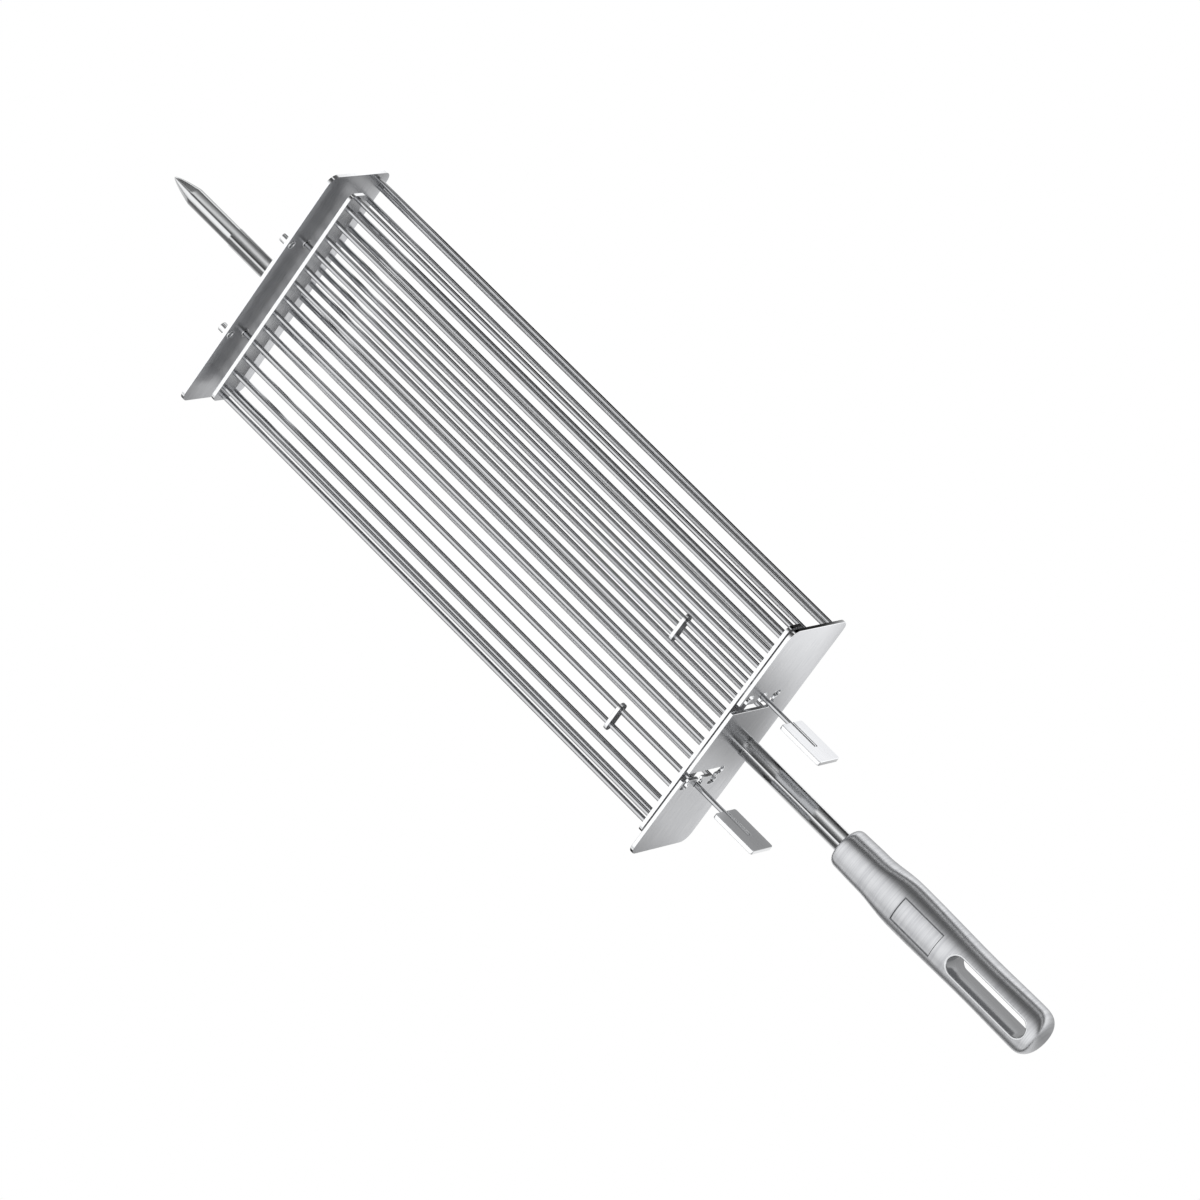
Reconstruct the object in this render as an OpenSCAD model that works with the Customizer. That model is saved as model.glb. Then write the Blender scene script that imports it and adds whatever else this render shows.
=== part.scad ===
// Rotating grill grate: a long basket of straight rods between two end plates, a lid grate that
// sits in it at one of three heights, and a square spit bar with a hollow handle.
// +X runs from the point of the spit to the handle, +Z is the open lid side, and the grate stands
// on the bottom edges of its end plates.

/* [End plates] */
// Width of the two end plates
plate_w = 150; // [140:1:190]
// Height of the two end plates
plate_h = 56; // [50:1:80]
// Thickness of the end plates
plate_t = 2; // [1.5:0.1:3]
// Corner radius of the end plates
plate_corner_r = 6; // [2:0.5:8]

/* [Basket rods] */
// Inside length between the two end plates
basket_l = 340; // [260:1:440]
// Diameter of every rod
rod_d = 2.8; // [2.2:0.1:3.4]
// Number of rods in the floor
floor_rods = 15; // [9:2:15]
// Distance between two floor rods
floor_pitch = 9.4; // [6:0.1:10.2]
// Height of the floor rods above the bottom edge
floor_rise = 4.2; // [3:0.1:6]
// Height of the two side rods above the bottom edge
side_rod_rise = 10.5; // [8:0.1:12]
// Distance of a side rod from the side edge of the plates
side_rod_inset = 3.7; // [2.5:0.1:4.5]

/* [Spit] */
// Width of the square spit bar over its flats
bar_side = 9.2; // [8:0.1:10.2]
// How far each flat of the bar is crowned
bar_crown = 0.45; // [0.3:0.05:0.8]
// Turn of the bar's upper corner away from straight up
bar_turn = 8; // [0:1:45]
// Height of the spit's axis above the bottom edge
bar_rise = 29; // [26:0.5:32]
// Length of the full square stretch beyond the far plate
tip_square_l = 37.2; // [20:0.1:60]
// Length of the stretch that is turned down to run in a bearing
tip_round_l = 31.5; // [15:0.1:50]
// Diameter that the bar's corners are turned down to
journal_d = 10.4; // [9.6:0.1:11.6]
// Length of the ground point
tip_point_l = 15.6; // [10:0.1:30]
// Length of bar that shows between the near plate and the handle
shaft_l = 77.5; // [55:0.5:120]

/* [Handle] */
// Length of the handle
handle_l = 141.5; // [135:0.5:170]
// Width at the front of the handle
front_d = 22.3; // [21:0.1:25]
// Width at the waist, behind the front
waist_d = 23.2; // [22:0.1:26]
// Distance of the waist from the front
waist_x = 20; // [15:0.5:28]
// Width at the swelling for the palm
bulge_d = 28.7; // [26:0.1:31]
// Distance of the swelling from the front
bulge_x = 46; // [38:0.5:55]
// Width along the rear grip
grip_d = 26.5; // [24:0.1:29]
// Distance of the narrowest part of the grip from the front
grip_x = 98; // [80:0.5:105]
// Width just before the domed end
end_d = 27.8; // [25:0.1:30]
// Length of the domed end
dome_l = 10.5; // [7:0.5:16]
// Height of the handle, which is pressed flatter than it is wide
handle_h = 20.5; // [19:0.1:22]
// Radius across the crowned top and bottom of the handle
handle_crown_r = 17; // [16.5:0.1:22]
// Wall of the hollow handle
handle_wall = 1.8; // [1.2:0.1:2.4]
// Radius of the rounded front edge
front_round = 3.5; // [2:0.1:4]
// Length of the front plug's shoulder
plug_shoulder_l = 4; // [4:0.5:8]
// Length of the front plug inside the handle
plug_spigot_l = 10; // [6:0.5:16]
// How far the bar reaches into the handle
bar_grip_l = 62; // [45:1:68]
// Thickness of the collar that steadies the bar's end
collar_t = 5; // [3:0.5:8]
// Distance of the collar from the end of the bar
collar_setback = 1.5; // [0.5:0.5:4]

/* [Hanging slot and panel] */
// Length of the hanging slot
slot_l = 53; // [35:0.5:58]
// Width of the hanging slot
slot_w = 10.6; // [8:0.1:12]
// Distance of the slot from the handle's domed tip
slot_end_gap = 7.5; // [6:0.5:16]
// Wall of the liner in the hanging slot
liner_t = 1.2; // [0.8:0.1:1.6]
// Length of the bare recessed panel
panel_l = 27.6; // [16:0.1:30]
// Width of the bare recessed panel
panel_w = 14.2; // [8:0.1:16]
// Distance of the panel from the front of the handle
panel_x = 44; // [30:0.5:46]
// Depth of the panel
panel_depth = 0.6; // [0.3:0.1:0.8]

/* [Lid grate] */
// Gap between each side edge of the lid plates and that of the end plates
lid_side_gap = 6; // [5:0.5:10]
// Gap between the lid and the far plate
lid_far_gap = 6.5; // [4:0.5:12]
// Gap between the lid and the near plate
lid_near_gap = 5.5; // [4:0.5:12]
// Height of the lid's two plates
lid_plate_h = 15.5; // [13:0.5:18]
// Thickness of the lid's two plates
lid_plate_t = 2; // [1.5:0.1:3]
// Corner radius of the lid's two plates
lid_corner_r = 4; // [1:0.5:5]
// Number of rods in the lid's flat row
lid_rods = 13; // [9:2:13]
// Distance between two rods of the lid
lid_pitch = 10; // [8:0.1:10.5]
// Distance of the row below the top edge of the lid's plates
lid_row_drop = 4.5; // [3:0.1:6]
// Distance of the lid's side rods below the row
lid_side_drop = 4; // [2:0.1:6]
// Distance of a lid side rod from the side edge of the lid's plates
lid_side_inset = 3; // [2.5:0.1:4]

/* [Height settings] */
// Number of heights that the lid can be set to
settings = 3; // [2:1:3]
// Which height the lid is set to, counted from the top
setting_used = 2; // [1, 2]
// Distance of the top setting below the top edge of the end plates
setting_drop = 4.5; // [4.5:0.1:6]
// Distance between two settings
setting_pitch = 13.5; // [11:0.1:14]
// Which rod each way from the middle of the lid is a lock rod
lock_step = 3; // [3:1:4]
// Wall of the guide bushes in the far plate
bush_wall = 0.9; // [0.6:0.1:1.5]
// How far a guide bush reaches behind the far plate
bush_back = 4.6; // [3:0.1:8]
// How far a guide bush stands proud inside the basket
bush_proud = 0.3; // [0.1:0.1:0.8]

/* [Spring locks] */
// How far a lock rod moves inwards where it crosses the near plate
lock_throw = 7.3; // [6.5:0.1:8]
// Distance of the link plates from the lid's near plate
link_setback = 45.5; // [35:0.5:70]
// Thickness of the link plates
link_t = 2; // [1.5:0.1:3]
// Height of the link plates
link_h = 7; // [6:0.1:9]
// Distance of the squeeze tabs from the near plate
tab_gap = 20.4; // [12:0.1:24]
// Length of the squeeze tabs
tab_l = 27.8; // [20:0.1:30]
// Height of the squeeze tabs
tab_h = 20; // [12:0.5:24]
// Thickness of the squeeze tabs
tab_t = 2.5; // [2:0.1:3.5]
// Corner radius of the squeeze tabs
tab_corner_r = 1.5; // [0.5:0.1:3]
// How far a lock rod is set into its tab
tab_seat_l = 17.6; // [10:0.1:18]

/* [Clearances] */
// Gap all round between a rod and its guide bush
bush_clear = 0.3; // [0.2:0.05:0.5]
// Gap all round between a lock rod and its notch
notch_clear = 0.8; // [0.6:0.05:1]
// Gap between a lock rod and the outer end of its notch at rest
notch_seat_gap = 0.3; // [0.2:0.05:0.4]
// Extra depth of a notch below the rod
notch_relief = 2.6; // [0.5:0.1:3.4]
// Gap each side of a lock rod in the vertical slot
slot_clear = 1.3; // [1:0.1:1.6]
// Gap at the link plate that lets a lock rod swing
swing_gap = 0.3; // [0.25:0.05:0.4]
// Gap all round at a welded or pressed seat
seat_gap = 0.05; // [0.02:0.01:0.08]

/* [Hidden] */
// Facets of round shapes
$fn = 64;
// Facets of the rods
rod_fn = 32;
// Overshoot of every cut
cut = 1;

tip_reach = tip_square_l + tip_round_l + tip_point_l;
overall_l = tip_reach + 2 * plate_t + basket_l + shaft_l + handle_l;

// Inner faces of the two end plates
far_x = tip_reach + plate_t - overall_l / 2;
near_x = far_x + basket_l;
// Front face of the handle
handle_x = near_x + plate_t + shaft_l;

// Row of the lid, and the levels that it can be set to
setting_z = [for (i = [0 : settings - 1]) plate_h - setting_drop - i * setting_pitch];
row_z = setting_z[setting_used - 1];

// Lid plates, from the inside of the far one to the inside of the near one
lid_w = plate_w - 2 * lid_side_gap;
lid_far_x = far_x + lid_far_gap + lid_plate_t;
lid_near_x = near_x - lid_near_gap - lid_plate_t;
lid_bottom_z = row_z + lid_row_drop - lid_plate_h;
lid_side_y = lid_w / 2 - lid_side_inset;

// Lock rods: their place in the row, the near face of the link plates, and the pivot beside it
lock_y = lock_step * lid_pitch;
link_x = lid_near_x - link_setback;
pivot_x = link_x + swing_gap;
lock_arm = near_x + plate_t / 2 - pivot_x;
lid_slot_throw = lock_throw * (lid_near_x + lid_plate_t - pivot_x) / lock_arm;
tab_x = near_x + plate_t + tab_gap;

// Notches and vertical slots of the near plate
notch_r = rod_d / 2 + notch_clear;
notch_y = lock_y + rod_d / 2 + notch_seat_gap - notch_r;
slot_y = lock_y - lock_throw;
comb_w = rod_d + 2 * slot_clear;
comb_bottom_z = setting_z[settings - 1] - notch_relief;

// Guide bushes in the far plate
bush_bore_d = rod_d + 2 * bush_clear;
bush_d = bush_bore_d + 2 * bush_wall;

// Middle rod of each row, counted from one
floor_mid = (floor_rods + 1) / 2;
lid_mid = (lid_rods + 1) / 2;

// Numbers of the lid's plain rods, which leave out the two lock rods
plain_rods = [for (i = [1 : lid_rods]) if (abs(i - lid_mid) != lock_step) i];

// Bar: radius of the crowned flats, and the angle of its first flat from straight up
crown_r = (pow(bar_side / 2, 2) + pow(bar_crown, 2)) / (2 * bar_crown);
bar_angle = 45 + bar_turn;
// Point of the spit: fullness and steps of its curve, the share of the bar's width that is left at
// its blunt end, and how far outside the flats their bevels start
point_fullness = 0.68;
point_steps = 8;
point_blunt = 0.06;
point_lead = 0.05;

// Handle: places and radii that its outline eases between
end_x = handle_l - dome_l;
handle_stations = [
    [0, front_d / 2],
    [waist_x, waist_d / 2],
    [bulge_x, bulge_d / 2],
    [grip_x, grip_d / 2],
    [end_x, end_d / 2],
];
// Steps along the handle and round its dome, and how full the dome is
handle_steps = 40;
dome_steps = 10;
dome_fullness = 0.7;
handle_slot_x = handle_x + handle_l - slot_end_gap - slot_l;
collar_x = bar_grip_l - collar_setback - collar_t;

// Sides of the grate: left is +Y, right is -Y
SIDES = [["left", 1], ["right", -1]];

// A rectangle with rounded corners, centred sideways and standing on the base line
module rounded_rect(w, h, r) {
    translate([r - w / 2, 0]) square([w - 2 * r, h]);
    translate([-w / 2, r]) square([w, h - 2 * r]);
    for (x = [r - w / 2, w / 2 - r])
        for (y = [r, h - r])
            translate([x, y]) circle(r);
}

// A slot with round ends between two points on one level
module level_slot(y0, y1, z, r) {
    translate([y0, z]) circle(r);
    translate([y1, z]) circle(r);
    translate([min(y0, y1), z - r]) square([abs(y1 - y0), 2 * r]);
}

// Stands a flat outline across the grate, from x towards the handle
module across(x, t) {
    translate([x, 0, 0]) rotate([90, 0, 90]) linear_extrude(t) children();
}

// A straight rod along the grate
module rod(x0, x1, y, z) {
    translate([x0, y, z]) rotate([0, 90, 0]) cylinder(d = rod_d, h = x1 - x0, $fn = rod_fn);
}

module far_end_plate() {
    color("#c4c5c7") across(far_x - plate_t, plate_t) difference() {
        rounded_rect(plate_w, plate_h, plate_corner_r);
        for (s = SIDES)
            for (z = setting_z)
                translate([s[1] * lock_y, z]) circle(d = bush_d + 2 * seat_gap);
    }
}

// The vertical slot on one side of the near plate, with a notch towards the side at each setting
module comb_cut(side) {
    translate([side * slot_y, comb_bottom_z]) circle(d = comb_w);
    translate([side * slot_y - comb_w / 2, comb_bottom_z])
        square([comb_w, plate_h - comb_bottom_z + cut]);
    for (z = setting_z) {
        level_slot(side * slot_y, side * notch_y, z, notch_r);
        translate([side * notch_y, z - notch_relief]) circle(notch_r);
        translate([side * notch_y - notch_r, z - notch_relief]) square([2 * notch_r, notch_relief]);
    }
}

module near_end_plate() {
    color("#c4c5c7") across(near_x, plate_t) difference() {
        rounded_rect(plate_w, plate_h, plate_corner_r);
        for (s = SIDES)
            comb_cut(s[1]);
    }
}

module floor_rod(i) {
    color("#b9bbbe") rod(far_x, near_x, (floor_mid - i) * floor_pitch, floor_rise);
}

module side_rod(side) {
    color("#b9bbbe") rod(far_x, near_x, side * (plate_w / 2 - side_rod_inset), side_rod_rise);
}

// A bush that guides the tail of a lock rod, pressed into the far plate
module guide_bush(side, k) {
    reach = bush_back + plate_t + bush_proud;
    color("#a9abae")
        translate([far_x + bush_proud - reach, side * lock_y, setting_z[k - 1]])
            rotate([0, 90, 0]) difference() {
                cylinder(d = bush_d, h = reach);
                translate([0, 0, -cut]) cylinder(d = bush_bore_d, h = reach + 2 * cut);
            }
}

// Section of the square bar, with crowned flats
module bar_section() {
    rotate(bar_angle) intersection_for (a = [0 : 90 : 270])
        rotate(a) translate([bar_side / 2 - crown_r, 0]) circle(crown_r);
}

// Extrudes a section of the bar from x towards the point of the spit
module towards_tip(x, l) {
    translate([x, 0, bar_rise]) rotate([0, -90, 0]) linear_extrude(l) children();
}

// Half outline of the bar's far end, as [half width, distance from the far plate]: it clears the
// square stretch, keeps one half width along the turned stretch and curves in to the point
function tip_outline(turned_half) = concat(
    [[bar_side, 0], [bar_side, tip_square_l], [turned_half, tip_square_l]],
    [for (i = [0 : point_steps])
        let (left = 1 - i / point_steps)
        let (share = point_blunt + (1 - point_blunt) * pow(left, point_fullness))
        [turned_half * share, tip_reach - tip_point_l * left]]
);

function mirrored(points) = [for (i = [len(points) - 1 : -1 : 0]) [-points[i][0], points[i][1]]];

// The bar beyond the far plate, turned down on a lathe and ground to a point on all four flats
module tip_bar() {
    flats = tip_outline(bar_side / 2 + point_lead);
    color("#9b9da0") intersection() {
        towards_tip(far_x - plate_t, tip_reach + cut) bar_section();
        translate([far_x - plate_t, 0, bar_rise]) rotate([0, -90, 0]) intersection() {
            rotate_extrude() polygon(concat([[0, 0]], tip_outline(journal_d / 2), [[0, tip_reach]]));
            intersection_for (a = [0, 90])
                rotate(bar_angle + a) rotate([90, 0, 0]) linear_extrude(2 * bar_side, center = true)
                    polygon(concat(flats, mirrored(flats)));
        }
    }
}

module handle_bar() {
    color("#9b9da0") towards_tip(handle_x + bar_grip_l, bar_grip_l + shaft_l) bar_section();
}

function eased(a, b, t) = a + (b - a) * (1 - cos(180 * t)) / 2;

// Which stretch of the handle's outline holds the distance x from its front
function stretch(x, i = 0) = i >= len(handle_stations) - 2 || x < handle_stations[i + 1][0] ? i
    : stretch(x, i + 1);

function handle_r(x) =
    let (i = stretch(x), a = handle_stations[i], b = handle_stations[i + 1])
    eased(a[1], b[1], (x - a[0]) / (b[0] - a[0]));

// Outline of the handle from a distance x0 to its tip, drawn in by an inset, as [radius, distance]
function handle_outline(x0, inset) = concat(
    [for (i = [0 : handle_steps - 1])
        let (x = x0 + (end_x - x0) * i / handle_steps) [handle_r(x) - inset, x]],
    [for (i = [0 : dome_steps - 1])
        let (a = 90 * i / dome_steps)
        [(end_d / 2 - inset) * pow(cos(a), dome_fullness), end_x + (dome_l - inset) * sin(a)]],
    [[0, handle_l - inset], [0, x0]]
);

// Section between the crowned top and bottom of the handle, drawn in by an inset
module flat_section(inset) {
    intersection_for (s = [-1, 1])
        translate([0, s * (handle_crown_r - handle_h / 2)]) circle(handle_crown_r - inset);
}

// Stands a flat outline round the spit's axis, at a distance x from the handle's front
module across_handle(x, l) {
    translate([0, 0, bar_rise]) across(handle_x + x, l) children();
}

// Turns an outline round the spit's axis, from the handle's front, and presses the result flatter
module pressed(inset) {
    intersection() {
        translate([handle_x, 0, bar_rise]) rotate([0, 90, 0]) rotate_extrude() children();
        across_handle(-cut, handle_l + 2 * cut) flat_section(inset);
    }
}

// A solid of the handle's outline, drawn in by an inset
module handle_solid(x0, inset) {
    pressed(inset) polygon(handle_outline(x0, inset));
}

// A cut with round ends, straight down through the handle
module hanging_cut(margin) {
    r = slot_w / 2;
    translate([handle_slot_x + r, 0, bar_rise - bulge_d]) linear_extrude(2 * bulge_d)
        level_slot(0, slot_l - 2 * r, 0, r + margin);
}

// The layer that the panel takes off the top of the handle
module panel_cut() {
    across_handle(panel_x, panel_l) difference() {
        translate([-panel_w / 2, 0]) square([panel_w, handle_h]);
        flat_section(panel_depth);
    }
}

module handle_shell() {
    color("#b4b5b6") difference() {
        handle_solid(plug_shoulder_l, 0);
        handle_solid(plug_shoulder_l - cut, handle_wall);
        hanging_cut(liner_t + seat_gap);
        panel_cut();
    }
}

// A square hole that the bar sits in, through a plug or collar that starts at x
module bar_hole(x, l) {
    wide = (bar_side + 2 * seat_gap) / bar_side;
    towards_tip(x + l + cut, l + 2 * cut) scale(wide) bar_section();
}

module handle_front_plug() {
    r = front_d / 2;
    fit = handle_wall + seat_gap;
    plug_l = plug_shoulder_l + plug_spigot_l;
    color("#b4b5b6") difference() {
        union() {
            pressed(0) union() {
                square([r - front_round, plug_shoulder_l]);
                translate([0, front_round]) square([r, plug_shoulder_l - front_round]);
                translate([r - front_round, front_round]) intersection() {
                    circle(front_round);
                    translate([0, -front_round]) square(front_round);
                }
            }
            pressed(fit) translate([0, front_round])
                square([handle_r(plug_shoulder_l) - fit, plug_l - front_round]);
        }
        bar_hole(handle_x, plug_l);
    }
}

module handle_collar() {
    fit = handle_wall + seat_gap;
    collar_r = min(handle_r(collar_x), handle_r(collar_x + collar_t)) - fit;
    color("#8f9193") difference() {
        pressed(fit) translate([0, collar_x]) square([collar_r, collar_t]);
        bar_hole(handle_x + collar_x, collar_t);
    }
}

// Wall of the hanging slot, trimmed flush with the outside of the handle
module hanging_slot_liner() {
    color("#a6a7a9") intersection() {
        handle_solid(plug_shoulder_l, 0);
        difference() {
            hanging_cut(liner_t);
            hanging_cut(0);
        }
    }
}

module lid_outline() {
    translate([0, lid_bottom_z]) rounded_rect(lid_w, lid_plate_h, lid_corner_r);
}

module lid_far_plate() {
    color("#c9cacc") across(lid_far_x - lid_plate_t, lid_plate_t) difference() {
        lid_outline();
        for (s = SIDES)
            translate([s[1] * lock_y, row_z]) circle(d = rod_d + 2 * seat_gap);
    }
}

module lid_near_plate() {
    color("#c9cacc") across(lid_near_x, lid_plate_t) difference() {
        lid_outline();
        for (s = SIDES)
            level_slot(s[1] * notch_y, s[1] * (lock_y - lid_slot_throw), row_z, notch_r);
    }
}

module lid_rod(i) {
    color("#c0c2c4") rod(lid_far_x, lid_near_x, (lid_mid - i) * lid_pitch, row_z);
}

module lid_side_rod(side) {
    color("#c0c2c4") rod(lid_far_x, lid_near_x, side * lid_side_y, row_z - lid_side_drop);
}

// A plate that ties a lock rod to the plain rod on its right
module lock_link(side) {
    color("#b0b1b3") across(link_x - link_t, link_t) difference() {
        level_slot(side * lock_y, side * lock_y - lid_pitch, row_z, link_h / 2);
        for (y = [side * lock_y, side * lock_y - lid_pitch])
            translate([y, row_z]) circle(d = rod_d + 2 * seat_gap);
    }
}

// The still part of a lock rod, from its tail in the guide bush to the link plate
module lock_rod_fixed(side) {
    color("#c0c2c4") rod(far_x - plate_t - bush_back, link_x, side * lock_y, row_z);
}

// The part of a lock rod that springs, from the link plate to its seat in the tab
module lock_rod_spring(side) {
    color("#c0c2c4") rod(pivot_x, tab_x + tab_seat_l, side * lock_y, row_z);
}

// A flat tab to squeeze, slit from its front edge for the end of the lock rod
module lock_tab(side) {
    slit_r = rod_d / 2 + seat_gap;
    color("#d0d1d2") translate([tab_x, side * lock_y + tab_t / 2, row_z])
        rotate([90, 0, 0]) linear_extrude(tab_t) difference() {
            translate([tab_l / 2, -tab_h / 2]) rounded_rect(tab_l, tab_h, tab_corner_r);
            translate([-cut, -slit_r]) square([tab_seat_l + seat_gap + cut, 2 * slit_r]);
        }
}

far_end_plate();
near_end_plate();
for (s = SIDES)
    side_rod(s[1]);
for (i = [1 : floor_rods])
    floor_rod(i);
tip_bar();
handle_bar();
handle_shell();
handle_front_plug();
handle_collar();
hanging_slot_liner();
for (s = SIDES)
    for (k = [1 : settings])
        guide_bush(s[1], k);
lid_far_plate();
lid_near_plate();
for (s = SIDES)
    lid_side_rod(s[1]);
for (i = plain_rods)
    lid_rod(i);
for (s = SIDES)
    lock_link(s[1]);
for (s = SIDES)
    lock_rod_fixed(s[1]);
for (s = SIDES)
    lock_rod_spring(s[1]);
for (s = SIDES)
    lock_tab(s[1]);
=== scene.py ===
"""Dresses a rotating grill grate: a rod basket with a lid grate, a square spit and a hollow handle.

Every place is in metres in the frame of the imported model, which gives the sizes that it can. Sizes
that are written here are in millimetres. +X runs from the point of the spit to the handle, +Z is the
side of the lid, and left is +Y.
"""

import logging
import math
from dataclasses import dataclass
from enum import Enum

import bmesh
import bpy
from mathutils import Matrix, Vector


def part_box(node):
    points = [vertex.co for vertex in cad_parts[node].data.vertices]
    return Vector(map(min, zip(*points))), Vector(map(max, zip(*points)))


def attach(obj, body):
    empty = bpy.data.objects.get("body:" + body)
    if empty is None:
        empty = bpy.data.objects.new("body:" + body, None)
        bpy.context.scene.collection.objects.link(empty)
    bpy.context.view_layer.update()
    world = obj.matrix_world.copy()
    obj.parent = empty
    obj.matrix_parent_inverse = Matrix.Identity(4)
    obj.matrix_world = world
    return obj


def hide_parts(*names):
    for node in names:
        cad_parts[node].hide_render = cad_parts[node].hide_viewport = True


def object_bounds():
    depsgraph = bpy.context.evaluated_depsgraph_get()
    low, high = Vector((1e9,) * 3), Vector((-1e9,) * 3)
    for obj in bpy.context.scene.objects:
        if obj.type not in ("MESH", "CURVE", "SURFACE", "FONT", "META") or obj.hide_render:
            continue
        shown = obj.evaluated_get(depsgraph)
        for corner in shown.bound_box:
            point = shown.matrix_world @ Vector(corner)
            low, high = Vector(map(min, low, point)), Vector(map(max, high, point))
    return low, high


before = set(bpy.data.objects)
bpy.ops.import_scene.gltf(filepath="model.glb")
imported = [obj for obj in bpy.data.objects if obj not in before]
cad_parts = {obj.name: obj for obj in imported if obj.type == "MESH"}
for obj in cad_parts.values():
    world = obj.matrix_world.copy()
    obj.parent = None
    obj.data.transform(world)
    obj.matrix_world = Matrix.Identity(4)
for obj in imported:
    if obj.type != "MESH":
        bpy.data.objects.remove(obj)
CAD_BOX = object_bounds()

MM = 0.001
SIDES = ("left", "right")
ENDS = ("far", "near")
WHITE = (1.0, 1.0, 1.0, 1.0)
# Chamfer at the ends of the lock rods, in mm.
LOCK_ROD_CHAMFER = 0.45
# Edges that turn by more than this many degrees stay crisp, where a piece asks for nothing else.
SHARP_DEG = 38.0
# A noise texture keeps almost wholly between these values.
NOISE_SPAN = (0.3, 0.7)
# Noise at which the streaks have the full colour of their bottoms and of the metal between them.
STREAK_BOTTOM, STREAK_TOP = 0.32, 0.62
# Least and greatest factor of the broad patches on the roughness.
PATCH_GLOSS = (0.93, 1.07)
log = logging.getLogger("grill_grate")


def linear(hex_colour: str) -> tuple[float, float, float, float]:
    """Turns an sRGB hex colour to linear light.

    Args:
        hex_colour: Six hex digits.

    Returns:
        Red, green, blue and an alpha of one.
    """
    parts = [int(hex_colour[i:i + 2], 16) / 255 for i in (0, 2, 4)]
    light = [p / 12.92 if p <= 0.04045 else ((p + 0.055) / 1.055) ** 2.4 for p in parts]
    return light[0], light[1], light[2], 1.0


def add_node(tree: bpy.types.NodeTree, kind: str, sockets: dict[str | int, object] | None = None,
             **settings: object) -> bpy.types.Node:
    """Adds a node to a tree, with its settings and what goes into its sockets.

    Args:
        tree: The tree that the node goes into.
        kind: Blender's name for the kind of node.
        sockets: For each input, by name or number, a value, the output that feeds it, or the node
            whose first output does.
        **settings: Properties of the node itself.

    Returns:
        The new node.
    """
    node = tree.nodes.new(kind)
    for name, value in settings.items():
        setattr(node, name, value)
    for name, value in (sockets or {}).items():
        if isinstance(value, bpy.types.Node):
            value = value.outputs[0]
        if isinstance(value, bpy.types.NodeSocket):
            tree.links.new(value, node.inputs[name])
        else:
            node.inputs[name].default_value = value
    return node


class Slot(Enum):
    """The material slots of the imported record."""

    END_PLATE = "sanded_end_plate"
    LID_PLATE = "sanded_lid_plate"
    ROD = "polished_rod"
    BAR = "drawn_bar"
    HANDLE = "satin_handle"
    LINER = "slot_liner"
    BUSH = "turned_bush"
    TAB = "polished_tab"


class Axis(Enum):
    """The direction that a sheet faces."""

    X = 0
    Y = 1
    Z = 2


@dataclass(frozen=True)
class SteelFinish:
    """A finish of stainless steel: a metal with fine streaks in its colour, gloss and height.

    Attributes:
        name: What the finish is called.
        face: sRGB hex colour of the metal between its scratches.
        scratch: sRGB hex colour down in the scratches.
        roughness: Roughness of the metal.
        spread: How far the streaks move the roughness each way.
        grain: Length of one streak along X, Y and Z, in mm.
        depth: Height of the streaks, in mm.
        patch: Size of the broad, faint patches, in mm.
    """

    name: str
    face: str
    scratch: str
    roughness: float
    spread: float
    grain: tuple[float, float, float]
    depth: float
    patch: float = 24.0

    def material(self) -> bpy.types.Material:
        """Gives the finish as a material, which is made at its first use.

        Returns:
            The material.
        """
        made = bpy.data.materials.get(self.name)
        if made:
            return made
        made = bpy.data.materials.new(self.name)
        made.use_nodes = True
        tree = made.node_tree
        shader = tree.nodes["Principled BSDF"]
        place = add_node(tree, "ShaderNodeTexCoord").outputs["Object"]
        streak_place = add_node(tree, "ShaderNodeMapping", {
            "Vector": place, "Scale": [1 / (MM * g) for g in self.grain]})
        streaks = add_node(tree, "ShaderNodeTexNoise", {
            "Vector": streak_place, "Scale": 1.0, "Detail": 3.0, "Roughness": 0.62})
        patches = add_node(tree, "ShaderNodeTexNoise", {
            "Vector": place, "Scale": 1 / (MM * self.patch), "Detail": 2.0})
        colour = add_node(tree, "ShaderNodeValToRGB", {"Fac": streaks})
        low, high = colour.color_ramp.elements
        low.position, high.position = STREAK_BOTTOM, STREAK_TOP
        low.color, high.color = linear(self.scratch), linear(self.face)
        streak_gloss = add_node(tree, "ShaderNodeMapRange", {
            "Value": streaks, "From Min": NOISE_SPAN[0], "From Max": NOISE_SPAN[1],
            "To Min": self.roughness + self.spread, "To Max": self.roughness - self.spread})
        patch_gloss = add_node(tree, "ShaderNodeMapRange", {
            "Value": patches, "From Min": NOISE_SPAN[0], "From Max": NOISE_SPAN[1],
            "To Min": PATCH_GLOSS[0], "To Max": PATCH_GLOSS[1]})
        gloss = add_node(tree, "ShaderNodeMath", {0: streak_gloss, 1: patch_gloss}, operation="MULTIPLY")
        shader.inputs["Metallic"].default_value = 1.0
        tree.links.new(colour.outputs["Color"], shader.inputs["Base Color"])
        tree.links.new(gloss.outputs["Value"], shader.inputs["Roughness"])
        if self.depth:
            bump = add_node(tree, "ShaderNodeBump", {
                "Height": streaks, "Distance": self.depth * MM, "Strength": 1.0})
            tree.links.new(bump.outputs["Normal"], shader.inputs["Normal"])
        return made


# Stainless sheet, sanded on a belt along its width: an even light grey that blurs what it mirrors.
# The real grit leaves scratches of 0.1 mm, drawn here at 0.35 mm so that they show.
SANDED_PLATE = SteelFinish(
    "sanded_stainless_sheet", "BCBDBF", "ABACAF", 0.33, 0.05, (0.35, 14.0, 0.35), 0.0008)
# Stainless sheet, sanded more finely along its width: a little brighter and glossier.
FINE_SANDED_PLATE = SteelFinish(
    "fine_sanded_stainless_sheet", "C0C1C3", "B2B3B6", 0.28, 0.04, (0.35, 12.0, 0.35), 0.0006)
# Edge of stainless sheet, deburred and polished: bright lines that turn dark round the corners.
POLISHED_EDGE = SteelFinish(
    "polished_stainless_edge", "E4E5E6", "DCDDDF", 0.09, 0.02, (2.0, 2.0, 2.0), 0.0)
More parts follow.
